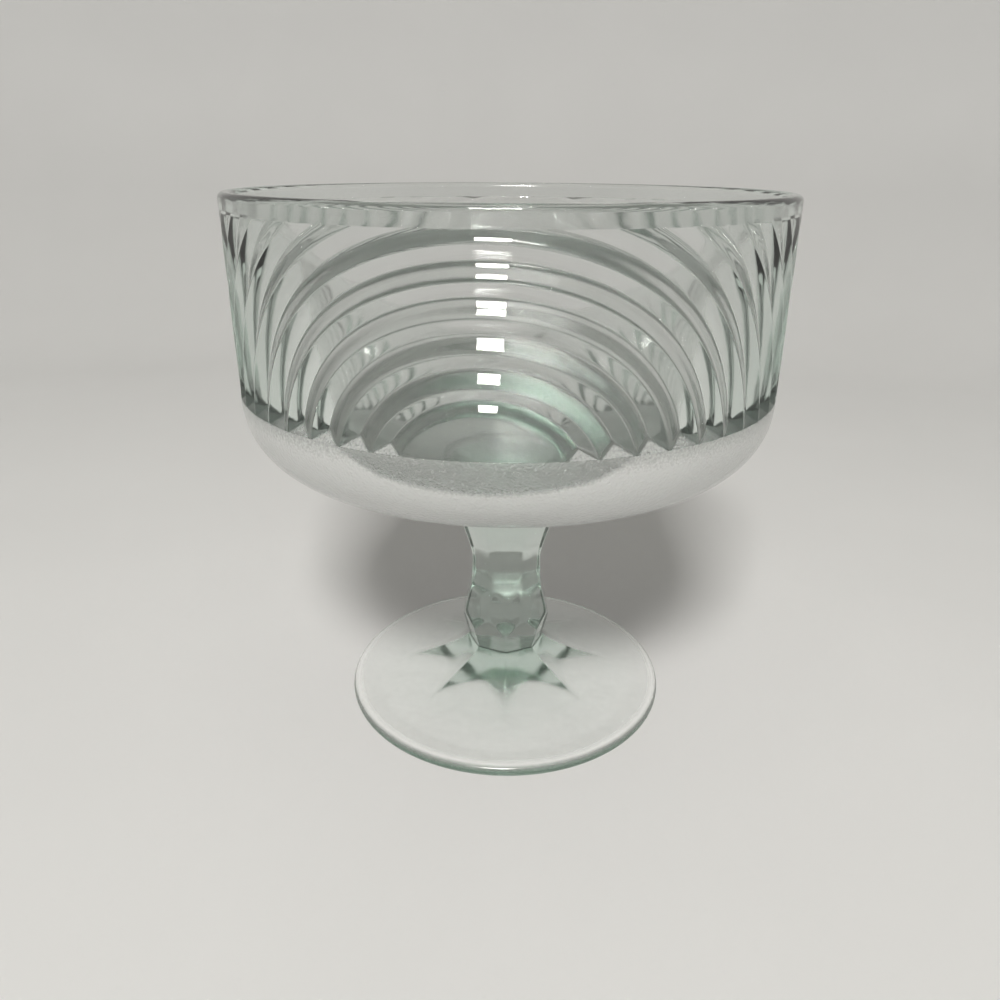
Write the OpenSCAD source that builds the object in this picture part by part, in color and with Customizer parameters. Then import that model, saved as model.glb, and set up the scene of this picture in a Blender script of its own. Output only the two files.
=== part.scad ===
// Footed compote bowl of clear pressed glass, standing on its foot, in millimetres.
// The origin is at the middle of the foot's underside and +Z is up.
// The middle of one panel of arched ribs faces -Y.

/* [Bowl] */
// Outside diameter at the rim
rim_d = 112; // [90:1:140]
// Glass thickness at the rim
rim_wall = 2.8; // [2.4:0.1:4]
// Height of the plain band under the rim
rim_band_h = 3.4; // [2:0.2:8]
// Rounding of the lip
lip_round = 1.2; // [0.4:0.1:1.2]
// Height of the ribbed part of the wall
rib_zone_h = 34.4; // [26:0.2:44]
// Glass thickness of the wall at the foot of the ribs
wall_foot = 4.2; // [3.4:0.1:6]
// Plain edge between the ribs and the rounded base
base_edge_h = 1.5; // [0.8:0.1:4]
// Outside radius of the rounded base corner
base_corner_r = 15; // [10:0.5:22]
// Slope where the base corner runs into the dished underside, in degrees
base_slope = 20; // [12:1:26]
// Inside radius between the wall and the floor
floor_corner_r = 12; // [8:0.5:18]
// Slope where the inside corner runs into the floor, in degrees
floor_slope = 16; // [10:1:22]
// Glass thickness in the middle of the floor
floor_t = 5; // [3:0.2:8]

/* [Ribs] */
// Ridges from the plain window to the side seam
rib_count = 12; // [8:1:14]
// Depth of the grooves between the ridges
rib_depth = 1.5; // [0.8:0.1:1.6]
// Height of the plain window at the foot of each panel
window_h = 7.2; // [5:0.2:9]
// Height of the first ridge above the foot of the panel
first_ridge_h = 11.5; // [10:0.1:13]
// Width of an arch against its height
arch_stretch = 1.2; // [1:0.05:1.4]
// Depth of the arches' common centre below the foot of the panel
arch_drop = 4.5; // [2:0.1:6]
// Place of a groove between two ridges, from the lower ridge (0) to the upper ridge (1)
groove_place = 0.58; // [0.4:0.01:0.65]
// Length of the sloping end of each groove at the foot of the panel
groove_end = 2; // [1.2:0.1:2.2]
// Length of the steep end of each groove at the rim band
groove_top = 0.6; // [0.4:0.1:1.4]

/* [Wafer] */
// Diameter of the wafer that joins the bowl to the stem
wafer_d = 31; // [29:0.5:38]
// Thickness of the wafer
wafer_h = 3.7; // [2.4:0.1:6]
// Rounding of the wafer's rim
wafer_round = 1.1; // [0.4:0.1:1.2]

/* [Stem] */
// Height of the stem from the foot to the wafer
stem_h = 39; // [34:0.5:50]
// Width of the stem across its flats under the wafer
stem_top_w = 26; // [20:0.5:26.5]
// Width of the neck across its flats
neck_w = 16.2; // [12:0.2:18]
// Height of the neck's lower crease above the stem's foot
neck_z = 16; // [13:0.5:19]
// Height of the neck between its two creases
neck_h = 7.5; // [4:0.5:11]
// Width across the flats where the neck's flare meets the knop
knop_w = 20.4; // [19:0.2:24]
// Height of the knop above the stem's foot
knop_z = 7; // [5:0.5:9]
// Width of the waist across its corners
waist_w = 18.2; // [15:0.2:19]
// Turn of the stem and foot against the middle of the bowl's panels, in degrees
stem_turn = 4; // [0:1:22]

/* [Foot] */
// Diameter of the foot
foot_d = 76; // [66:1:90]
// Height of the foot from its underside to the stem
foot_h = 12.5; // [11:0.5:16]
// Thickness of the foot at its rim
foot_edge_t = 2.6; // [2:0.1:4]
// Rounding of the foot's rim
foot_round = 1.2; // [0.4:0.1:1.2]
// Height of the foot's upper face at the tips of the star
star_tip_z = 5.8; // [5:0.1:7]
// Diameter over the tips of the star
star_d = 48; // [40:1:56]
// Diameter over the hollows between the star's rays
star_hollow_d = 30; // [26:0.5:34]
// Height of the foot's upper face at those hollows
star_hollow_z = 7.4; // [6.8:0.1:8.4]
// Diameter of the hollow under the foot
under_d = 62; // [50:1:64]
// Depth of the hollow under the foot
under_h = 1; // [0.4:0.1:1.6]

/* [Hidden] */

$fn = 96;
clear_glass = [0.78, 0.86, 0.82, 0.45];
frosted_glass = [0.86, 0.9, 0.88, 0.6];

// Stack of the pieces
stem_z = foot_h;
wafer_z = stem_z + stem_h;
bowl_z = wafer_z + wafer_h;

// Bowl outline, with height 0 at the foot of the ribs
rim_r = rim_d / 2;
lip_r = min(lip_round, rim_wall / 2);
rim_h = rib_zone_h + rim_band_h;
arc_steps = 12;
seat_r = wafer_d / 2;
corner_x = rim_r - base_corner_r;
base_run = corner_x + base_corner_r * sin(base_slope);
base_r = base_run / sin(base_slope);
base_mid_z = -base_edge_h - base_corner_r * cos(base_slope) + base_r * cos(base_slope);
seat_z = base_mid_z - sqrt(base_r ^ 2 - seat_r ^ 2);
seat_angle = asin(seat_r / base_r);

// Inside of the bowl
foot_wall_r = rim_r - wall_foot;
floor_x = foot_wall_r - floor_corner_r;
floor_r = (floor_x + floor_corner_r * sin(floor_slope)) / sin(floor_slope);
floor_z = seat_z + floor_t;
floor_corner_z = floor_z + floor_r * (1 - cos(floor_slope)) + floor_corner_r * cos(floor_slope);
cavity_overrun = 1;
cavity_top = rim_h + cavity_overrun;

// Ribs: arches in the unrolled wall, each with a size measured from the arches' centre
rib_inset = 0.05;
rib_r = rim_r - rib_inset;
core_inset = 0.25;
core_r = rib_r - rib_depth - core_inset;
rib_bite = 0.6;
quarter_u = rim_r * PI / 2;
window_b = arch_drop + window_h;
first_b = arch_drop + first_ridge_h;
seam_b = norm([quarter_u / arch_stretch, arch_drop]);
rib_pitch = (seam_b - first_b) / (rib_count - 1);
corner_b = norm([quarter_u / arch_stretch, arch_drop + rib_zone_h]);
corner_margin = 0.1;
last_ridge = rib_count + floor((corner_b - seam_b) / rib_pitch - corner_margin);
arch_steps = 12;
seam_angle = 90;
seam_snap = 0.0001;

// Stem
stem_sides = 8;
flat_share = cos(180 / stem_sides);
flare_power = 1.2;
flare_steps = 8;
end_overrun = 1;

// Foot
foot_r = foot_d / 2;
waist_r = waist_w / 2;
waist_flat_r = waist_r * flat_share;
star_power = 1.5;
star_bite = 0.7;
star_base_z = star_tip_z - star_bite;
star_rings = 10;
ray_steps = 6;
disc_slope = 2 * (star_hollow_z - star_tip_z) / (star_d - star_hollow_d);
disc_bite = 0.6;
disc_top_z = star_hollow_z + disc_bite * disc_slope;

// Points along an arc
function arc(x, z, r, a0, a1, steps) =
    [for (i = [0 : steps]) let (a = a0 + (a1 - a0) * i / steps) [x + r * cos(a), z + r * sin(a)]];

// Size of a ridge's arch, counted from the edge of the window
function ridge_b(k) = k == 0 ? window_b : first_b + (k - 1) * rib_pitch;

// A row is a ridge at each even number and the groove between two ridges at each odd one
function is_groove(t) = t % 2 == 1;
function groove_b(lower, upper) = lower + (upper - lower) * groove_place;
function row_b(t) = is_groove(t) ? groove_b(ridge_b((t - 1) / 2), ridge_b((t + 1) / 2)) : ridge_b(t / 2);
function row_depth(t) = is_groove(t) ? rib_depth : 0;
function row_end(t) = is_groove(t) ? groove_end : 0;
function row_top(t) = is_groove(t) ? groove_top : 0;

// Angle along an arch where it leaves the panel's foot or the side seam
function start_angle(b, end) =
    min(acos((arch_drop + end) / b), asin(min(1, quarter_u / (arch_stretch * b))));

// Angle along an arch where it reaches the panel's middle or the rim band
function stop_angle(b, end) =
    let (top = arch_drop + rib_zone_h - end) b > top ? acos(top / b) : 0;

// A point of the wall, at a distance u round it and a height above the foot of the ribs
function wall_point(u, height, depth) =
    let (turn = u / quarter_u * seam_angle,
         a = abs(turn - seam_angle) < seam_snap ? seam_angle : turn,
         r = rib_r - depth)
    [r * sin(a), -r * cos(a), height];

function arch(b, depth, end, top) =
    let (a0 = start_angle(b, end), a1 = stop_angle(b, top))
    [for (i = [0 : arch_steps])
        let (a = a0 + (a1 - a0) * i / arch_steps)
        wall_point(arch_stretch * b * sin(a), b * cos(a) - arch_drop, depth)];

function strip(p, q) =
    [for (i = [0 : arch_steps - 1]) each [[p[i], q[i], q[i + 1]], [p[i], q[i + 1], p[i + 1]]]];

function fan(tip, p) = [for (i = [0 : len(p) - 2]) [tip, p[i], p[i + 1]]];
function back_fan(tip, p) = [for (i = [0 : len(p) - 2]) [tip, p[i + 1], p[i]]];

function first(p) = p[0];
function last(p) = p[len(p) - 1];
function at_height(p, z) = [for (v = p) [v.x, v.y, z]];

// Sloping end of a groove at the rim band, with the panel's top middle where the ridges part there
function top_end(lower, groove, upper, top_mid) =
    last(upper).x == 0 ? []
    : last(lower).x > 0 ? [[last(lower), last(groove), last(upper)]]
    : concat(last(groove).x > 0 ? [[last(lower), last(groove), top_mid]] : [],
             [[last(groove), last(upper), top_mid]]);

// One quarter of the ribbed drum, as triangles
function rib_quarter() =
    let (rows = [for (t = [0 : 2 * last_ridge]) arch(row_b(t), row_depth(t), row_end(t), row_top(t))],
         window_row = arch((arch_drop + window_b) / 2, 0, 0, 0),
         foot_mid = wall_point(0, 0, 0),
         top_mid = wall_point(0, rib_zone_h, 0),
         top_side = wall_point(quarter_u, rib_zone_h, 0),
         ridges = [for (k = [0 : last_ridge]) rows[2 * k]],
         foot_line = concat([foot_mid, first(window_row)], [for (k = [0 : rib_count]) first(ridges[k])]),
         top_ridges = [for (r = ridges) if (last(r).x > 0) last(r)],
         top_line = concat([top_mid], top_ridges, [top_side]),
         low_line = at_height(foot_line, -rib_bite),
         high_line = at_height(top_line, rib_zone_h + rib_bite))
    concat(fan(foot_mid, window_row),
           strip(window_row, rows[0]),
           [for (t = [0 : 2 * last_ridge - 1]) each strip(rows[t], rows[t + 1])],
           back_fan(top_side, last(ridges)),
           [for (k = [0 : rib_count - 1]) [first(ridges[k]), first(ridges[k + 1]), first(rows[2 * k + 1])]],
           [for (k = [0 : last_ridge - 1])
               each top_end(ridges[k], rows[2 * k + 1], ridges[k + 1], top_mid)],
           skirt(low_line, foot_line),
           skirt(top_line, high_line),
           fan([0, 0, -rib_bite], low_line),
           back_fan([0, 0, rib_zone_h + rib_bite], high_line));

function skirt(low, high) =
    [for (i = [0 : len(low) - 2])
        each [[low[i], high[i], low[i + 1]], [high[i], high[i + 1], low[i + 1]]]];

function mirrored(triangles, sx, sy) =
    [for (t = triangles)
        let (m = [for (v = t) [sx * v.x, sy * v.y, v.z]]) sx * sy > 0 ? m : [m[0], m[2], m[1]]];

// Drum with the arched ribs all round it
module rib_drum() {
    quarter = rib_quarter();
    triangles = [for (sx = [1, -1], sy = [1, -1]) each mirrored(quarter, sx, sy)];
    polyhedron(points = [for (t = triangles) each t],
               faces = [for (i = [0 : len(triangles) - 1]) [3 * i, 3 * i + 1, 3 * i + 2]]);
}

// Outside of the bowl without its ribs
module bowl_outside() {
    rotate_extrude()
        polygon(concat([[0, seat_z]],
                       arc(0, base_mid_z, base_r, seat_angle - 90, base_slope - 90, arc_steps),
                       arc(corner_x, -base_edge_h, base_corner_r, base_slope - 90, 0, arc_steps),
                       [[rim_r, 0], [core_r, 0], [core_r, rib_zone_h], [rim_r, rib_zone_h]],
                       arc(rim_r - lip_r, rim_h - lip_r, lip_r, 0, 90, arc_steps),
                       [[0, rim_h]]));
}

// Smooth hollow of the bowl, with the inner half of the lip
module bowl_inside() {
    rotate_extrude()
        polygon(concat([[0, floor_z]],
                       arc(0, floor_z + floor_r, floor_r, -90, floor_slope - 90, arc_steps),
                       arc(floor_x, floor_corner_z, floor_corner_r, floor_slope - 90, 0, arc_steps),
                       arc(rim_r - rim_wall + lip_r, rim_h - lip_r, lip_r, 180, 90, arc_steps),
                       [[rim_r - rim_wall + lip_r, cavity_top], [0, cavity_top]]));
}

module bowl() {
    color(clear_glass)
        translate([0, 0, bowl_z - seat_z])
            difference() {
                union() {
                    bowl_outside();
                    rib_drum();
                }
                bowl_inside();
            }
}

module wafer() {
    edge_r = min(wafer_round, wafer_h / 2);
    edge_x = wafer_d / 2 - edge_r;
    color(clear_glass)
        translate([0, 0, wafer_z])
            rotate_extrude()
                polygon(concat([[0, 0]],
                               arc(edge_x, edge_r, edge_r, -90, 0, arc_steps),
                               arc(edge_x, wafer_h - edge_r, edge_r, 0, 90, arc_steps),
                               [[0, wafer_h]]));
}

// Upper half of the stem: flare under the wafer, neck, and flare onto the knop
module stem_upper() {
    neck_r = neck_w / 2 / flat_share;
    top_r = stem_top_w / 2 / flat_share;
    knop_r = knop_w / 2 / flat_share;
    neck_top = neck_z + neck_h;
    spread = (knop_r - neck_r) / (neck_z - knop_z);
    flare = [for (i = [0 : flare_steps])
        let (s = i / flare_steps)
        [neck_r + (top_r - neck_r) * s ^ flare_power, neck_top + (stem_h - neck_top) * s]];
    rotate_extrude($fn = stem_sides)
        polygon(concat([[0, -end_overrun],
                        [neck_r + spread * (neck_z + end_overrun), -end_overrun],
                        [neck_r, neck_z]],
                       flare,
                       [[0, stem_h]]));
}

// Lower half of the stem, turned half a side, which opens upwards from the waist
module stem_lower() {
    spread = (knop_w / 2 / flat_share - waist_r) / knop_z;
    rotate_extrude($fn = stem_sides)
        polygon([[0, 0],
                 [waist_r, 0],
                 [waist_r + spread * (stem_h + end_overrun), stem_h + end_overrun],
                 [0, stem_h + end_overrun]]);
}

module stem() {
    color(clear_glass)
        translate([0, 0, stem_z])
            rotate([0, 0, stem_turn])
                intersection() {
                    rotate([0, 0, 180 / stem_sides])
                        stem_upper();
                    stem_lower();
                }
}

// Radius of the star's ridges and of the hollows between them, at a height above the table
function ridge_r(z) =
    waist_r + (star_d / 2 - waist_r) * ((foot_h - z) / (foot_h - star_tip_z)) ^ star_power;
function hollow_r(z) =
    waist_flat_r
    + (star_hollow_d / 2 - waist_flat_r) * ((foot_h - z) / (foot_h - star_hollow_z)) ^ star_power;

// A level ring of the star, with a hollowed side between each two ridges
function star_ring(z) =
    let (tip = ridge_r(z), dip = hollow_r(z), n = stem_sides * ray_steps)
    [for (i = [0 : n - 1])
        let (side = abs(2 * (i % ray_steps) / ray_steps - 1),
             a = 360 / n * i,
             off = (a % (360 / stem_sides)) - 180 / stem_sides,
             flat = dip / cos(off),
             full = dip / cos(180 / stem_sides),
             r = flat + (tip - full) * side ^ 2)
        [r * cos(a), r * sin(a), z]];

// Star of ridges that rises from the foot to the stem
module star() {
    n = stem_sides * ray_steps;
    rings = [for (j = [0 : star_rings]) star_ring(star_base_z + (foot_h - star_base_z) * j / star_rings)];
    sides = [for (j = [0 : star_rings - 1], i = [0 : n - 1])
        let (a = j * n + i, b = j * n + (i + 1) % n)
        each [[a, a + n, b], [b, a + n, b + n]]];
    polyhedron(points = [for (r = rings) each r],
               faces = concat(sides,
                              [[for (i = [0 : n - 1]) i]],
                              [[for (i = [n - 1 : -1 : 0]) star_rings * n + i]]));
}

// Round foot under the star, hollow underneath
module foot_disc() {
    edge_r = min(foot_round, foot_edge_t / 2);
    edge_x = foot_r - edge_r;
    rotate_extrude()
        polygon(concat([[0, under_h], [under_d / 2 - under_h, under_h], [under_d / 2, 0]],
                       arc(edge_x, edge_r, edge_r, -90, 0, arc_steps),
                       arc(edge_x, foot_edge_t - edge_r, edge_r, 0, 90, arc_steps),
                       [[star_d / 2 + disc_bite, star_tip_z - disc_bite * disc_slope],
                        [star_hollow_d / 2 - disc_bite, disc_top_z],
                        [0, disc_top_z]]));
}

module foot() {
    color(frosted_glass)
        rotate([0, 0, stem_turn])
            union() {
                foot_disc();
                star();
            }
}

bowl();
wafer();
stem();
foot();
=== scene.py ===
# Footed compote bowl of clear pressed glass: its surfaces, materials, light and camera.
# Meshes are sized in millimetres, which become metres when a mesh is made. Light and camera use metres.
import math

import bmesh
import bpy
import numpy as np
from mathutils import Matrix, Vector


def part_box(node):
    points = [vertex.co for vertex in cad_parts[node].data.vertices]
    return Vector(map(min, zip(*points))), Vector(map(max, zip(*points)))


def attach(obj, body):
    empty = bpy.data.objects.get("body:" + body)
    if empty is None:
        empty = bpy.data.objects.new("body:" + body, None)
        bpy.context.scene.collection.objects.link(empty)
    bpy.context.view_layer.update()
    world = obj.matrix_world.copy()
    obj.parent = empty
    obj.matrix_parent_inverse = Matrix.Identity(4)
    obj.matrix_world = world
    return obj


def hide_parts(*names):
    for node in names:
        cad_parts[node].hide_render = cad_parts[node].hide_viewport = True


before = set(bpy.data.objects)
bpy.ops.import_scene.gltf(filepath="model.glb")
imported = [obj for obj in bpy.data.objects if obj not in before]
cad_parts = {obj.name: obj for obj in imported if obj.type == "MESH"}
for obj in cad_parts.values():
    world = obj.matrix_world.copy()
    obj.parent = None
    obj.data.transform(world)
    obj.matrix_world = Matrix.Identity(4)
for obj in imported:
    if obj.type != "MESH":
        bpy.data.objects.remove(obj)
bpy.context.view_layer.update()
MM = 0.001
QUARTER = math.pi / 2


def node_box(name):
    """Lowest and highest corner of a CAD node, in millimetres."""
    low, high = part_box(name)
    return np.array(low) / MM, np.array(high) / MM


# Places that come from the frame
BOWL_LOW, BOWL_HIGH = node_box("bowl")
WAFER_LOW, WAFER_HIGH = node_box("wafer")
STEM_LOW, STEM_HIGH = node_box("stem")
FOOT_LOW, FOOT_HIGH = node_box("foot")
RIM_R = (BOWL_HIGH[0] - BOWL_LOW[0]) / 2
RIM_Z = BOWL_HIGH[2]
SEAT_Z = BOWL_LOW[2]
WAFER_R = (WAFER_HIGH[0] - WAFER_LOW[0]) / 2
STEM_H = STEM_HIGH[2] - STEM_LOW[2]
FOOT_R = (FOOT_HIGH[0] - FOOT_LOW[0]) / 2
FOOT_TOP_Z = FOOT_HIGH[2]

# Finishes that vary over a piece, and the painted light among them, as a share at each point
FINISHES_AND_PAINTED_LIGHT = ("stipple", "frost", "haze")
# Points that are closer than this become one
WELD = 0.004
# Edges that bend more than this are shaded as sharp
SHARP_EDGE = math.radians(40)
# Fused joints: the wafer reaches this far into the bowl, and the stem into the wafer and the foot
FUSE = 0.25
# Air under the foot's resting face, so that glass and stage don't share a plane
STAGE_GAP = 0.06

# Steps of the meshes round corners, along profiles and across flat ends
EDGE_STEPS = 10
LIP_STEPS = 12
CORNER_STEPS = 30
FLOOR_STEPS = 24
WALL_POINTS = 16
CAP_SHARES = (0, 0.5, 0.97, 1)
# Rows of the plain glass next to the ribs' upper and lower ends, as distances from those ends
EDGE_ROWS = (0, 0.12, 0.5)

# Bowl
RIM_WALL = 2.8
RIM_BAND_H = 3.4
LIP_R = 1.2
RIB_ZONE_H = 34.4
WALL_FOOT = 4.2
BASE_EDGE_H = 1.5
BASE_CORNER_R = 15.0
BASE_SLOPE = math.radians(20)
FLOOR_CORNER_R = 12.0
FLOOR_SLOPE = math.radians(16)
FLOOR_T = 5.0
SEAT_INSET = 0.3
BAND_Z = RIM_Z - RIM_BAND_H
LEDGE_Z = BAND_Z - RIB_ZONE_H

# Frost on the underside, partly the base's real stippled finish and partly painted light: a belt that fades
# in below the ledge and out towards the stem
FROST_START = 0.55
FROST_FULL = 4.5
FROST_INNER_R = 38.0
FROST_INNER_FADE = 8.0
# The clearer lens in that belt, below each window: painted shade, where less white lets the dark behind show
# through
LENS_FROST = 0.36
LENS_DROP = 4.3
LENS_HALF_W = 26.0
LENS_FADE = 2.4

# Painted light on the inside floor: a soft white ring, with thinner painted light within it, for the light
# that the glass brings onto the frosted base
PAINTED_LIGHT_R = 31.0
PAINTED_LIGHT_HALF_W = 15.0
PAINTED_LIGHT_FADE = 13.0
PAINTED_LIGHT_LEAST = 0.3
PAINTED_LIGHT_PEAK = 0.68
# Fine grains on the inside floor
GRAIN_SHARE = 0.3
GRAIN_R = 46.0
GRAIN_FADE = 8.0

# Arched ribs: an arch's size is its height above the arches' common centre, which lies below the panel
RIB_COUNT = 12
RIB_DEPTH = 1.5
WINDOW_H = 7.2
FIRST_RIDGE_H = 11.5
ARCH_STRETCH = 1.2
ARCH_DROP = 4.5
# Place of a groove between two ridges, and the lengths of its ends at the ledge and at the rim band
GROOVE_PLACE = 0.58
GROOVE_END = 2.0
GROOVE_TOP = 0.12
# Share of an S-curve in the bevel above each ridge, and rounding of the arrises as a share of a facet
BEVEL_CURVE = 0.46
RIDGE_ROUND = 0.04
GROOVE_ROUND = 0.04
# Side grooves grow shallow towards the rim band: over this length along the arch, down to this share,
# and by degrees over the first arches that reach the band
GROOVE_RUN = 16.0
RUN_SHARE = 0.25
RUN_START = 12.0
# White on the grooves' sloping feet, a painted reflection of the light from above, which fades out towards
# the sides
FEET_PAINTED_REFLECTION = 0.52
FEET_EDGE = 0.2
FEET_SIDE = 52.0
FEET_FADE = 22.0
# Least room above the last ridge, as a share of the ribs' pitch
CORNER_ROOM = 0.1
# Sizes of the arches at the panel's marks, and of all ridges and grooves
QUARTER_U = RIM_R * math.pi / 2
ARCH_TOP = ARCH_DROP + RIB_ZONE_H
WINDOW_B = ARCH_DROP + WINDOW_H
FIRST_B = ARCH_DROP + FIRST_RIDGE_H
SEAM_B = math.hypot(QUARTER_U / ARCH_STRETCH, ARCH_DROP)
CORNER_B = math.hypot(QUARTER_U / ARCH_STRETCH, ARCH_TOP)
RIB_PITCH = (SEAM_B - FIRST_B) / (RIB_COUNT - 1)
LAST_RIDGE = RIB_COUNT + int((CORNER_B - SEAM_B) / RIB_PITCH - CORNER_ROOM)
RIDGES = [WINDOW_B] + [FIRST_B + k * RIB_PITCH for k in range(LAST_RIDGE)]
GROOVES = [low + (high - low) * GROOVE_PLACE for low, high in zip(RIDGES, RIDGES[1:])]
# Rows and columns of the ribs' mesh, with the rows of a facet closer together at its arrises
FACET_SHARES = np.array((0, 0.04, 0.08, 0.13, 0.2, 0.32, 0.5, 0.68, 0.8, 0.87, 0.92, 0.96, 1))
WINDOW_ROWS = 16
CORNER_ROWS = 8
BAND_REACH = 12
BAND_STEP = 0.8
LEAST_ROW_GAP = 0.012
RIB_COLUMNS = 52

# Wafer
WAFER_ROUND = 1.1
WAFER_INSET = 0.2
WAFER_COLUMNS = 144

# Stem: heights are above its lower end, widths are across flats, and the waist's is across corners
SIDES = 8
FLAT_SHARE = math.cos(math.pi / SIDES)
STEM_TOP_W = 26.0
NECK_W = 16.2
NECK_Z = 16.0
NECK_H = 7.5
KNOP_W = 20.4
KNOP_Z = 7.0
WAIST_W = 18.2
FLARE_POWER = 1.2
ARRIS_POWER = 48
STEM_TURN = math.radians(4)
STEM_ROWS = 150
STEM_SIDE_COLUMNS = 24

# Foot: a round disc, with a star of ridges that sinks into it past the tips, over a shallow hollow
FOOT_EDGE_T = 2.6
FOOT_ROUND = 1.2
STAR_TIP_Z = 5.8
STAR_D = 48.0
STAR_HOLLOW_D = 30.0
STAR_HOLLOW_Z = 7.4
STAR_POWER = 1.5
STAR_FADE = 0.3
STAR_BLEND = 0.35
STAR_LEVELS = 240
DISC_RISE = 1.2
UNDER_D = 62.0
UNDER_H = 1.0
UNDER_EDGE = 0.2
UNDER_POINTS = 25
# Painted light on the foot's upper face: a white ring at its edge for the bright rim of lit floor seen
# through it, and a thin white veil off the star for the lit floor under it
EDGE_PAINTED_LIGHT_W = 2.0
FOOT_PAINTED_VEIL = 0.3
FOOT_RINGS = 90
RING_POWER = 1.7
FOOT_SIDE_COLUMNS = 32

# Glass, with the heights of its ripple and grains in metres
GLASS_IOR = 1.52
GLASS_TINT = (0.23, 0.85, 0.55, 1)
RIPPLE_SCALE = 150
RIPPLE_H = 0.0004
GRAIN_H = 0.0003


class Shell:
    """Grids of points that are welded into one mesh, with the share of each finish and of the painted light
    at each point.
    """

    def __init__(self):
        self.points = []
        self.faces = []
        self.shares = {finish: [] for finish in FINISHES_AND_PAINTED_LIGHT}

    def add(self, grid, **shares):
        rows, cols = grid.shape[:2]
        start = len(self.points)
        self.points.extend(grid.reshape(-1, 3).tolist())
        for finish in FINISHES_AND_PAINTED_LIGHT:
            share = np.broadcast_to(shares.get(finish, 0.0), (rows, cols))
            self.shares[finish].extend(share.ravel().tolist())
        for i in range(rows - 1):
            for j in range(cols - 1):
                a = start + i * cols + j
                self.faces.append((a, a + 1, a + 1 + cols, a + cols))

    def add_mirrored(self, grid, **shares):
        for sx in (1, -1):
            for sy in (1, -1):
                self.add(grid * np.array((sx, sy, 1)), **shares)

    def build(self, name):
        mesh = bpy.data.meshes.new(name)
        mesh.from_pydata([[c * MM for c in p] for p in self.points], [], self.faces)
        for finish, values in self.shares.items():
            mesh.attributes.new(finish, "FLOAT", "POINT").data.foreach_set("value", values)
        bm = bmesh.new()
        bm.from_mesh(mesh)
        bmesh.ops.remove_doubles(bm, verts=bm.verts, dist=WELD * MM)
        bmesh.ops.recalc_face_normals(bm, faces=bm.faces)
        for face in bm.faces:
            face.smooth = True
        bm.to_mesh(mesh)
        bm.free()
        mesh.set_sharp_from_angle(angle=SHARP_EDGE)
        piece = bpy.data.objects.new(name, mesh)
        bpy.context.scene.collection.objects.link(piece)
        return piece


def arc(x, z, r, a0, a1, steps):
    """Points along an arc of a profile, with angles in radians."""
    a = np.linspace(a0, a1, steps + 1)
    return np.stack((x + r * np.cos(a), z + r * np.sin(a)), -1)


def turn(profile, angles):
    """Grid of a profile turned about the axis, with angle 0 towards -Y."""
    r = profile[:, :1]
    z = np.broadcast_to(profile[:, 1:], (len(profile), len(angles)))
    return np.stack((r * np.sin(angles), -r * np.cos(angles), z), -1)


def full_turn(steps):
    return np.linspace(0, 2 * math.pi, steps + 1)


def cap(ring):
    """Grid of the flat end that closes a ring of points about the axis."""
    middle = np.array((0, 0, ring[0, 2]))
    return np.stack([middle + (ring - middle) * share for share in CAP_SHARES])


# Bowl
def arch_rows():
    """Sizes of the arches that the mesh follows, from the window's foot to the seam's top."""
    window_u = ARCH_STRETCH * math.sqrt(WINDOW_B**2 - ARCH_DROP**2)
    rows = [math.hypot(ARCH_DROP, u / ARCH_STRETCH) for u in np.linspace(0, window_u, WINDOW_ROWS)]
    for low, groove, high in zip(RIDGES, GROOVES, RIDGES[1:]):
        rows.extend(low + (groove - low) * FACET_SHARES)
        rows.extend(high + (groove - high) * FACET_SHARES)
    rows.extend(math.hypot(ARCH_TOP, u / ARCH_STRETCH) for u in np.arange(0, BAND_REACH, BAND_STEP))
    rows.extend(np.linspace(RIDGES[-1], CORNER_B, CORNER_ROWS))
    rows.extend((ARCH_TOP - GROOVE_TOP, ARCH_TOP - GROOVE_TOP / 2))
    rows = np.sort(np.array(rows))
    keep = np.concatenate(([True], np.diff(rows) > LEAST_ROW_GAP))
    keep[-1] = True
    return rows[keep]


def groove_depth(b, run):
    """Depth of the ribbed wall behind its ridges: a curved bevel above each ridge, a flat facet below it.

    b is the size of the arch. The run is the way along the arch from the rim band.
    """
    marks = sorted(RIDGES + GROOVES)
    phase = np.interp(b, marks, np.arange(len(marks)))
    x = np.abs((phase + 1) % 2 - 1)
    rounded = np.hypot(x, RIDGE_ROUND) - np.hypot(1 - x, GROOVE_ROUND)
    low = RIDGE_ROUND - np.hypot(1, GROOVE_ROUND)
    high = np.hypot(1, RIDGE_ROUND) - GROOVE_ROUND
    flat = (rounded - low) / (high - low)
    curved = flat + BEVEL_CURVE * ((1 - np.cos(math.pi * flat)) / 2 - flat)
    pitch = np.interp(phase // 2, np.arange(len(RIDGES) - 1), np.diff(RIDGES))
    facet = RIB_DEPTH * pitch / RIB_PITCH * np.where(phase % 2 < 1, curved, flat)
    shallow = (1 - RUN_SHARE) * np.clip((b - ARCH_TOP) / RUN_START, 0, 1)
    return facet * (1 - shallow * np.clip(1 - run / GROOVE_RUN, 0, 1))


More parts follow.
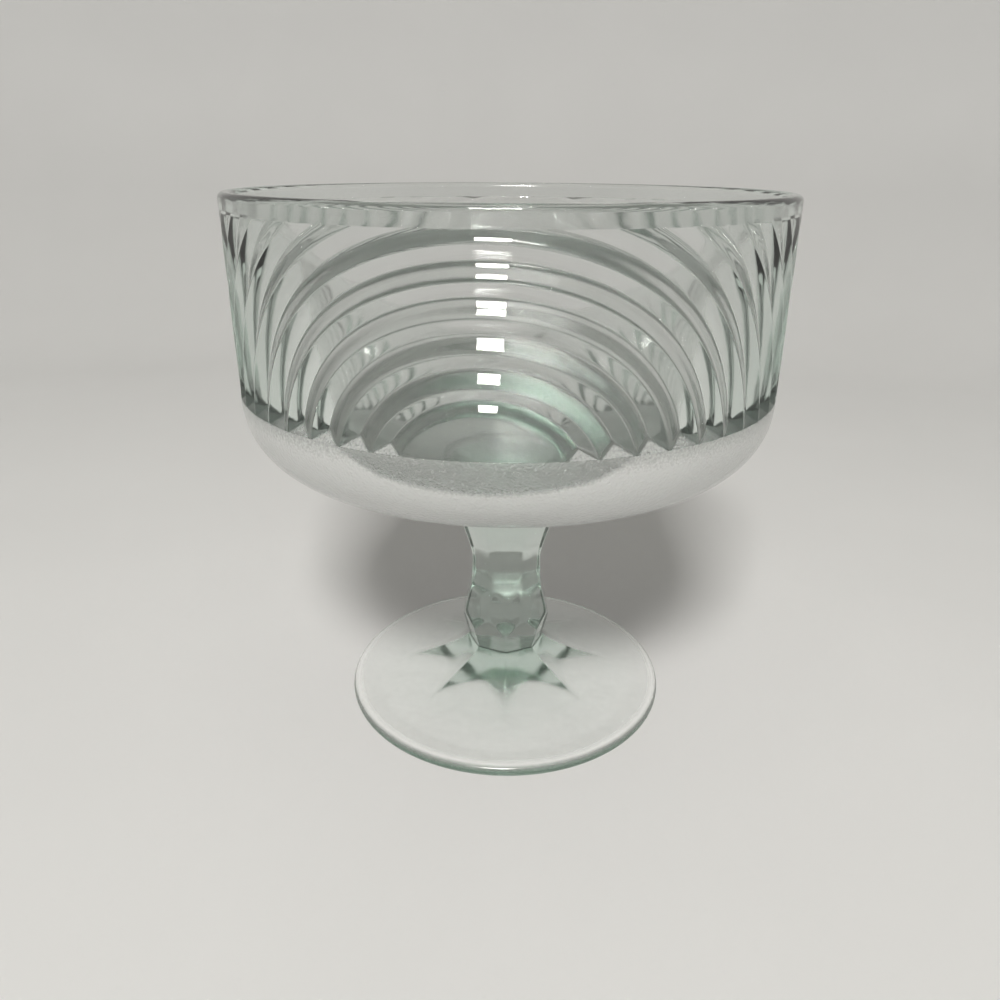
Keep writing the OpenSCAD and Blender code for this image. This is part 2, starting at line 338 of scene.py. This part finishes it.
def rib_grid(rows):
    """A quarter of the ribbed wall, the white of a painted reflection on its groove feet, and the angles
    where its arches end.
    """
    start = np.minimum(np.arccos(np.clip(ARCH_DROP / rows, -1, 1)),
                       np.arcsin(np.clip(QUARTER_U / (ARCH_STRETCH * rows), -1, 1)))
    stop = np.arccos(np.clip(ARCH_TOP / rows, -1, 1))
    share = (1 - np.cos(np.linspace(0, math.pi, RIB_COLUMNS + 1))) / 2
    along = start[:, None] + (stop - start)[:, None] * share
    u = np.clip(ARCH_STRETCH * rows[:, None] * np.sin(along), 0, QUARTER_U)
    height = np.clip(rows[:, None] * np.cos(along) - ARCH_DROP, 0, RIB_ZONE_H)
    b = np.broadcast_to(rows[:, None], u.shape)
    depth = groove_depth(b, b * (along - stop[:, None]))
    foot_slope = RIB_DEPTH * height / GROOVE_END
    top_slope = RIB_DEPTH * (RIB_ZONE_H - height) / GROOVE_TOP
    r = RIM_R - np.maximum(np.minimum(np.minimum(depth, foot_slope), top_slope), 0)
    # Painted reflection: white on the groove feet, fading out towards the sides
    feet = np.clip((depth - foot_slope) / FEET_EDGE, 0, 1)
    frost = FEET_PAINTED_REFLECTION * feet * np.clip((FEET_SIDE - u) / FEET_FADE, 0, 1)
    angle = u / RIM_R
    grid = np.stack((r * np.sin(angle), -r * np.cos(angle), LEDGE_Z + height), -1)
    return grid, frost, angle[:, 0], angle[:, -1]


def base_profile():
    """Underside of the bowl, from the foot of the ribs to the axis."""
    corner_x = RIM_R - BASE_CORNER_R
    corner_z = LEDGE_Z - BASE_EDGE_H
    base_r = (corner_x + BASE_CORNER_R * math.sin(BASE_SLOPE)) / math.sin(BASE_SLOPE)
    middle_z = corner_z + (base_r - BASE_CORNER_R) * math.cos(BASE_SLOPE)
    slope_end = BASE_SLOPE - QUARTER
    seat_end = math.asin(WAFER_R / base_r) - QUARTER
    edge = [[RIM_R, LEDGE_Z - drop] for drop in EDGE_ROWS]
    seat = [[WAFER_R - SEAT_INSET, SEAT_Z], [WAFER_R / 2, SEAT_Z], [0, SEAT_Z]]
    return np.concatenate((edge,
                           arc(corner_x, corner_z, BASE_CORNER_R, 0, slope_end, CORNER_STEPS),
                           arc(0, middle_z, base_r, slope_end, seat_end, CORNER_STEPS)[1:],
                           seat))


def base_frost(profile, angles):
    """Share of the white on the underside: a frosted belt round the corner, partly painted light, with a
    clearer lens of painted shade below each window.
    """
    drop = LEDGE_Z - profile[:, 1:]
    lens = LENS_DROP * np.clip(1 - (angles * RIM_R / LENS_HALF_W) ** 2, 0, 1)
    beside = np.clip(1 - lens / LENS_FADE, 0, 1)
    below = np.clip(beside + (drop - lens) / LENS_FADE, 0, 1)
    belt = below * np.clip(FROST_START + (1 - FROST_START) * drop / FROST_FULL, 0, 1)
    inner = np.clip((profile[:, :1] - FROST_INNER_R) / FROST_INNER_FADE, 0, 1)
    return np.maximum(belt, LENS_FROST) * inner


def inside_profile():
    """Rim band, lip and smooth inside of the bowl, from the top of the ribs to the axis."""
    floor_z = SEAT_Z + FLOOR_T
    floor_x = RIM_R - WALL_FOOT - FLOOR_CORNER_R
    floor_r = (floor_x + FLOOR_CORNER_R * math.sin(FLOOR_SLOPE)) / math.sin(FLOOR_SLOPE)
    corner_z = floor_z + floor_r * (1 - math.cos(FLOOR_SLOPE)) + FLOOR_CORNER_R * math.cos(FLOOR_SLOPE)
    lip_z = RIM_Z - LIP_R
    inner_x = RIM_R - RIM_WALL
    slope_end = FLOOR_SLOPE - QUARTER
    band = [[RIM_R, BAND_Z + rise] for rise in EDGE_ROWS]
    wall = np.linspace((inner_x, lip_z), (RIM_R - WALL_FOOT, corner_z), WALL_POINTS)[1:-1]
    return np.concatenate((band,
                           arc(RIM_R - LIP_R, lip_z, LIP_R, 0, QUARTER, LIP_STEPS),
                           arc(inner_x + LIP_R, lip_z, LIP_R, QUARTER, 2 * QUARTER, LIP_STEPS),
                           wall,
                           arc(floor_x, corner_z, FLOOR_CORNER_R, 0, slope_end, CORNER_STEPS),
                           arc(0, floor_z + floor_r, floor_r, slope_end, -QUARTER, FLOOR_STEPS)[1:]))


def inside_finish(r):
    """Shares of the haze, the painted light and the fine grains on the inside, at distances from the axis."""
    # Painted light on the inside floor: a soft white ring, with less within it
    least = np.where(r < PAINTED_LIGHT_R, PAINTED_LIGHT_LEAST, 0)
    return {"haze": np.clip((RIM_R - RIM_WALL / 2 - r) / LIP_R, 0, 1),
            "frost": np.clip((PAINTED_LIGHT_HALF_W - np.abs(r - PAINTED_LIGHT_R)) / PAINTED_LIGHT_FADE, least, PAINTED_LIGHT_PEAK),
            "stipple": GRAIN_SHARE * np.clip((GRAIN_R - r) / GRAIN_FADE, 0, 1)}


def make_bowl():
    rows = arch_rows()
    ribs, feet, starts, stops = rib_grid(rows)
    base = base_profile()
    base_angles = starts[rows <= SEAM_B + WELD]
    inside = inside_profile()
    inside_angles = stops[rows >= ARCH_TOP - WELD]
    shell = Shell()
    # White on the groove feet is a painted reflection, on the underside frost with painted light and shade,
    # on the inside floor painted light
    shell.add_mirrored(ribs, frost=feet)
    shell.add_mirrored(turn(base, base_angles), stipple=1.0, frost=base_frost(base, base_angles))
    shell.add_mirrored(turn(inside, inside_angles), **inside_finish(inside[:, :1]))
    return shell.build("glass_bowl")


# Wafer
def make_wafer():
    low = WAFER_LOW[2]
    high = WAFER_HIGH[2] + FUSE
    edge_x = WAFER_R - WAFER_ROUND
    profile = np.concatenate(([[0, low], [WAFER_R / 2, low]],
                              arc(edge_x, low + WAFER_ROUND, WAFER_ROUND, -QUARTER, 0, EDGE_STEPS),
                              arc(edge_x, WAFER_HIGH[2] - WAFER_ROUND, WAFER_ROUND, 0, QUARTER, EDGE_STEPS),
                              [[edge_x - WAFER_INSET, high], [WAFER_R / 2, high], [0, high]]))
    shell = Shell()
    shell.add(turn(profile, full_turn(WAFER_COLUMNS)))
    return shell.build("glass_wafer")


# Stem
def upper_flats(z):
    """Half width of the stem's upper flats, at heights above its lower end."""
    neck_top = NECK_Z + NECK_H
    up = np.clip((z - neck_top) / (STEM_H - neck_top), 0, 1)
    down = np.clip((NECK_Z - z) / (NECK_Z - KNOP_Z), 0, None)
    return NECK_W / 2 + (STEM_TOP_W - NECK_W) / 2 * up**FLARE_POWER + (KNOP_W - NECK_W) / 2 * down


def lower_flats(z):
    """Half width of the stem's lower flats, which open upwards from the waist."""
    spread = (KNOP_W / 2 / FLAT_SHARE - WAIST_W / 2) / KNOP_Z
    return (WAIST_W / 2 + spread * z) * FLAT_SHARE


def make_stem():
    """The stem: upper and lower flats by turns, cut from one body with softly rounded arrises."""
    z = np.linspace(-FUSE, STEM_H + FUSE, STEM_ROWS)
    angles = full_turn(SIDES * STEM_SIDE_COLUMNS)
    power = 0
    for half in range(2 * SIDES):
        flats = upper_flats(z) if half % 2 == 0 else lower_flats(np.maximum(z, 0))
        facing = np.maximum(np.cos(angles - half * math.pi / SIDES), 0)
        power = power + (facing / flats[:, None]) ** ARRIS_POWER
    r = power ** (-1 / ARRIS_POWER)
    level = np.broadcast_to((STEM_LOW[2] + z)[:, None], r.shape)
    turned = angles + STEM_TURN
    wall = np.stack((r * np.sin(turned), -r * np.cos(turned), level), -1)
    shell = Shell()
    shell.add(wall)
    shell.add(cap(wall[0]))
    shell.add(cap(wall[-1]))
    return shell.build("glass_stem")


# Foot
def star_radius(z, angles):
    """Radius of the star at a height, with a hollowed side between each two ridges."""
    waist = WAIST_W / 2
    drop = FOOT_TOP_Z - z
    tip = waist + (STAR_D / 2 - waist) * (drop / (FOOT_TOP_Z - STAR_TIP_Z)) ** STAR_POWER
    flat = waist * FLAT_SHARE
    dip = flat + (STAR_HOLLOW_D / 2 - flat) * (drop / (FOOT_TOP_Z - STAR_HOLLOW_Z)) ** STAR_POWER
    side = 2 * math.pi / SIDES
    off = angles % side - side / 2
    share = np.abs(2 * off / side)
    return dip / np.cos(off) + (tip - dip / FLAT_SHARE) * share**2


def disc_height(r):
    """Height of the foot's upper face without its star."""
    return np.interp(r, (0, STAR_HOLLOW_D / 2, STAR_D / 2, FOOT_R - FOOT_ROUND),
                     (STAR_HOLLOW_Z + DISC_RISE, STAR_HOLLOW_Z, STAR_TIP_Z, FOOT_EDGE_T))


def foot_top(r, angle):
    """Height of the foot's upper face along one angle, with the star blended in, and the star's share."""
    levels = np.linspace(FOOT_TOP_Z, -FOOT_TOP_Z, STAR_LEVELS)
    star = np.interp(r, star_radius(levels, angle), levels)
    disc = disc_height(r)
    gap = star - disc - STAR_FADE * np.maximum(r - STAR_D / 2, 0)
    return disc + (gap + np.sqrt(gap**2 + STAR_BLEND**2)) / 2, np.clip(0.5 + gap, 0, 1)


def foot_edge():
    """Profile of the foot's rounded edge, its resting face and the hollow under it."""
    edge_x = FOOT_R - FOOT_ROUND
    under_r = UNDER_D / 2
    hollow = np.linspace(1, 0, UNDER_POINTS)
    return np.concatenate((arc(edge_x, FOOT_EDGE_T - FOOT_ROUND, FOOT_ROUND, QUARTER, 0, EDGE_STEPS),
                           arc(edge_x, FOOT_ROUND, FOOT_ROUND, 0, -QUARTER, EDGE_STEPS),
                           [[under_r + UNDER_EDGE, 0]],
                           np.stack((under_r * hollow, UNDER_H * (1 - hollow**2)), -1)))


def make_foot():
    angles = full_turn(SIDES * FOOT_SIDE_COLUMNS)
    waist = star_radius(FOOT_TOP_Z, angles)
    edge_x = FOOT_R - FOOT_ROUND
    steps = np.linspace(0, 1, FOOT_RINGS) ** RING_POWER
    r = waist + (edge_x - waist) * steps[:, None]
    z = np.empty_like(r)
    star = np.empty_like(r)
    for j, angle in enumerate(angles):
        z[:, j], star[:, j] = foot_top(r[:, j], angle)
    z[0] = FOOT_TOP_Z
    z[-1] = FOOT_EDGE_T
    turned = angles + STEM_TURN
    top = np.stack((r * np.sin(turned), -r * np.cos(turned), z), -1)
    # Painted light: white at the edge and a thin veil off the star, for the lit floor seen through the foot
    painted_veil = np.clip((r - edge_x) / EDGE_PAINTED_LIGHT_W + 1, FOOT_PAINTED_VEIL * (1 - star), 1)
    edge = foot_edge()
    edge_frost = np.interp(np.arange(len(edge)), (0, EDGE_STEPS), (1, 0))[:, None]
    shell = Shell()
    shell.add(cap(top[0]))
    shell.add(top, frost=painted_veil, haze=star)
    shell.add(turn(edge, turned), frost=edge_frost)
    piece = shell.build("glass_foot")
    # The thin flat foot casts no shadow, so that the light reaches the floor that it stands on
    piece.visible_shadow = False
    piece.visible_diffuse = False
    return piece


# Materials
def noise(tree, scale, detail):
    """A noise texture that is fixed to the piece."""
    place = tree.nodes.new("ShaderNodeTexCoord")
    texture = tree.nodes.new("ShaderNodeTexNoise")
    texture.inputs["Scale"].default_value = scale
    texture.inputs["Detail"].default_value = detail
    tree.links.new(place.outputs["Object"], texture.inputs["Vector"])
    return texture.outputs["Fac"]


def attribute(tree, name):
    """The share of a finish, as it is kept in the mesh."""
    node = tree.nodes.new("ShaderNodeAttribute")
    node.attribute_name = name
    return node.outputs["Fac"]


def ramp(tree, value, span, result):
    """A number that goes from the first to the second result as the value crosses the span."""
    node = tree.nodes.new("ShaderNodeMapRange")
    node.inputs["From Min"].default_value = span[0]
    node.inputs["From Max"].default_value = span[1]
    node.inputs["To Min"].default_value = result[0]
    node.inputs["To Max"].default_value = result[1]
    tree.links.new(value, node.inputs["Value"])
    return node.outputs["Result"]


def combine(tree, operation, first, second):
    """The sum or the product of two numbers."""
    node = tree.nodes.new("ShaderNodeMath")
    node.operation = operation
    tree.links.new(first, node.inputs[0])
    tree.links.new(second, node.inputs[1])
    return node.outputs["Value"]


def bump(tree, height, strength, distance):
    node = tree.nodes.new("ShaderNodeBump")
    node.inputs["Strength"].default_value = strength
    node.inputs["Distance"].default_value = distance
    tree.links.new(height, node.inputs["Height"])
    return node


def glass(name, ripple, roughness, clarity, density):
    """Soda-lime glass: clear, green in its thickness and rippled by the mould."""
    material = bpy.data.materials.new(name)
    material.use_nodes = True
    tree = material.node_tree
    tree.nodes.clear()
    out = tree.nodes.new("ShaderNodeOutputMaterial")
    surface = tree.nodes.new("ShaderNodeBsdfPrincipled")
    surface.name = "surface"
    surface.inputs["Base Color"].default_value = (clarity, clarity, clarity, 1)
    surface.inputs["IOR"].default_value = GLASS_IOR
    surface.inputs["Transmission Weight"].default_value = 1.0
    surface.inputs["Roughness"].default_value = roughness
    tree.links.new(surface.outputs["BSDF"], out.inputs["Surface"])
    body = tree.nodes.new("ShaderNodeVolumeAbsorption")
    body.inputs["Color"].default_value = GLASS_TINT
    body.inputs["Density"].default_value = density
    tree.links.new(body.outputs["Volume"], out.inputs["Volume"])
    waves = bump(tree, noise(tree, RIPPLE_SCALE, detail=2), ripple, RIPPLE_H)
    waves.name = "ripple"
    tree.links.new(waves.outputs["Normal"], surface.inputs["Normal"])
    return material


def add_stipple(material, strength, grain_size):
    """Fine grains on the surface, where the piece's stipple value is above 0."""
    tree = material.node_tree
    grain = noise(tree, 1 / (grain_size * MM), detail=3)
    height = combine(tree, "MULTIPLY", grain, attribute(tree, "stipple"))
    fine = bump(tree, height, strength, GRAIN_H)
    tree.links.new(tree.nodes["ripple"].outputs["Normal"], fine.inputs["Normal"])
    tree.links.new(fine.outputs["Normal"], tree.nodes["surface"].inputs["Normal"])


def add_haze(material, roughness):
    """Another roughness, where the piece's haze value is above 0."""
    tree = material.node_tree
    surface = tree.nodes["surface"]
    plain = surface.inputs["Roughness"].default_value
    dull = ramp(tree, attribute(tree, "haze"), (0, 1), (plain, roughness))
    tree.links.new(dull, surface.inputs["Roughness"])


def add_frost(material, share, grain_size, spread):
    """A white diffuse share with a grainy edge, where the piece's share of white is above 0: frosted glass in
    some places, painted light in others.
    """
    tree = material.node_tree
    cloud = noise(tree, 1 / (grain_size * MM), detail=2)
    grain = ramp(tree, cloud, (0.2, 0.8), (-spread, spread))
    total = combine(tree, "ADD", grain, attribute(tree, "frost"))
    clear = ramp(tree, total, (spread, 1 - spread), (1, 1 - share))
    tree.links.new(clear, tree.nodes["surface"].inputs["Transmission Weight"])


def bowl_glass():
    material = glass("bowl_glass", ripple=0.12, roughness=0.03, clarity=0.93, density=12)
    add_haze(material, roughness=0.1)
    add_stipple(material, strength=0.8, grain_size=0.5)
    # White frost on the base, painted light on the inside floor and a painted reflection on the groove feet
    add_frost(material, share=0.64, grain_size=0.4, spread=0.16)
    return material


def wafer_glass():
    return glass("wafer_glass", ripple=0.1, roughness=0.12, clarity=0.84, density=6)


def stem_glass():
    return glass("stem_glass", ripple=0.1, roughness=0.07, clarity=0.88, density=8)


def foot_glass():
    material = glass("foot_glass", ripple=0.2, roughness=0.16, clarity=1.0, density=9)
    add_haze(material, roughness=0.13)
    # White of the painted light on the foot
    add_frost(material, share=0.5, grain_size=1.5, spread=0.05)
    return material


def pale_floor():
    """Matt floor with faint clouds, with painted shade in front of the bowl, and a little darker up the
    backdrop.

    The spans of front and wall are in metres.
    """
    material = bpy.data.materials.new("pale_floor")
    material.use_nodes = True
    tree = material.node_tree
    surface = tree.nodes["Principled BSDF"]
    surface.inputs["Roughness"].default_value = 0.6
    place = tree.nodes.new("ShaderNodeTexCoord")
    parts = tree.nodes.new("ShaderNodeSeparateXYZ")
    tree.links.new(place.outputs["Object"], parts.inputs["Vector"])
    tone = ramp(tree, noise(tree, 14, detail=2), (0, 1), (0.76, 0.8))
    # Painted shade in front of the bowl, and a little darker up the backdrop
    front = ramp(tree, parts.outputs["Y"], (-0.7, -0.1), (0.32, 1))
    wall = ramp(tree, parts.outputs["Z"], (0, 0.1), (1, 0.9))
    shade = combine(tree, "MULTIPLY", front, wall)
    total = combine(tree, "MULTIPLY", tone, shade)
    tree.links.new(total, surface.inputs["Base Color"])
    return material


# Stage, light and camera
def make_floor():
    """Pale round floor that curves up into a plain backdrop, nearest behind the bowl."""
    stage_r = 1100
    wall_y = 560
    cove_r = 220
    cove_steps = 24
    wall_top = 1300
    columns = 96
    bend = arc(stage_r - cove_r, cove_r, cove_r, -QUARTER, 0, cove_steps)
    path = np.concatenate(([[0, 0]], bend, [[stage_r, wall_top]]))
    path[:, 1] -= STAGE_GAP
    sweep = Shell()
    sweep.add(turn(path, full_turn(columns)) + np.array((0, wall_y - stage_r, 0)))
    floor = sweep.build("floor")
    floor.data.materials.append(pale_floor())


def make_key():
    """A soft box above and in front of the bowl, which faces it."""
    azimuth = math.radians(-1.4)
    elevation = math.radians(47)
    distance = 1.1
    aim = Vector((0, 0, 80 * MM))
    level = math.cos(elevation)
    way = Vector((math.sin(azimuth) * level, -math.cos(azimuth) * level, math.sin(elevation)))
    data = bpy.data.lights.new("key", "AREA")
    data.shape = "RECTANGLE"
    data.size = 0.29
    data.size_y = 0.21
    data.energy = 10.5
    data.color = (1.0, 0.98, 0.94)
    light = bpy.data.objects.new("key", data)
    light.location = aim + way * distance
    light.rotation_euler = way.to_track_quat("Z", "Y").to_euler()
    bpy.context.scene.collection.objects.link(light)


def make_world():
    """Dim surroundings, brighter at the two sides than in front of the bowl and overhead."""
    world = bpy.data.worlds.new("studio")
    bpy.context.scene.world = world
    world.use_nodes = True
    tree = world.node_tree
    back = tree.nodes["Background"]
    back.inputs["Color"].default_value = (1.0, 1.0, 0.82, 1)
    place = tree.nodes.new("ShaderNodeTexCoord")
    parts = tree.nodes.new("ShaderNodeSeparateXYZ")
    tree.links.new(place.outputs["Generated"], parts.inputs["Vector"])
    aside = tree.nodes.new("ShaderNodeMath")
    aside.operation = "ABSOLUTE"
    tree.links.new(parts.outputs["X"], aside.inputs[0])
    depth = ramp(tree, parts.outputs["Y"], (-0.7, 0.5), (0.07, 0.13))
    side = ramp(tree, aside.outputs["Value"], (0.5, 1), (0, 0.2))
    overhead = ramp(tree, parts.outputs["Z"], (0.2, 0.9), (0, 0.04))
    total = combine(tree, "ADD", combine(tree, "ADD", depth, side), overhead)
    tree.links.new(total, back.inputs["Strength"])


def make_camera():
    """The photograph's camera, solved from the outlines of the rim, the wall and the foot.

    Its distance and height are shares of the rim's radius, and its pitch and roll are in radians.
    """
    focal_px = 808.9
    frame_px = 1000
    aside_px = 7.384
    distance = 3.1022 * RIM_R * MM
    above_rim = 0.0975 * RIM_R * MM
    azimuth = math.radians(4)
    aside = math.atan(aside_px / focal_px)
    pitch = 0.3979
    roll = 0.0057
    data = bpy.data.cameras.new("camera")
    data.sensor_width = 36
    data.lens = data.sensor_width * focal_px / frame_px
    data.clip_start = 0.005
    camera = bpy.data.objects.new("camera", data)
    camera.location = (distance * math.sin(azimuth), -distance * math.cos(azimuth), RIM_Z * MM + above_rim)
    camera.rotation_euler = (Matrix.Rotation(azimuth + aside, 3, "Z")
                             @ Matrix.Rotation(QUARTER - pitch, 3, "X")
                             @ Matrix.Rotation(roll, 3, "Z")).to_euler()
    bpy.context.scene.collection.objects.link(camera)
    bpy.context.scene.camera = camera


def set_picture():
    """Plain tones, and long light paths through the glass without the bright spots that it focuses."""
    scene = bpy.context.scene
    scene.view_settings.view_transform = "Standard"
    scene.cycles.sample_clamp_indirect = 60
    scene.cycles.caustics_refractive = False
    scene.cycles.blur_glossy = 0.2
    scene.cycles.transmission_bounces = 20
    scene.cycles.max_bounces = 24


def dress(piece, node, material):
    """Give a piece its material and let it stand for its CAD node."""
    piece.data.materials.append(material)
    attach(piece, "root")
    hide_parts(node)


make_camera()
dress(make_bowl(), "bowl", bowl_glass())
dress(make_wafer(), "wafer", wafer_glass())
dress(make_stem(), "stem", stem_glass())
dress(make_foot(), "foot", foot_glass())
make_floor()
make_world()
make_key()
set_picture()
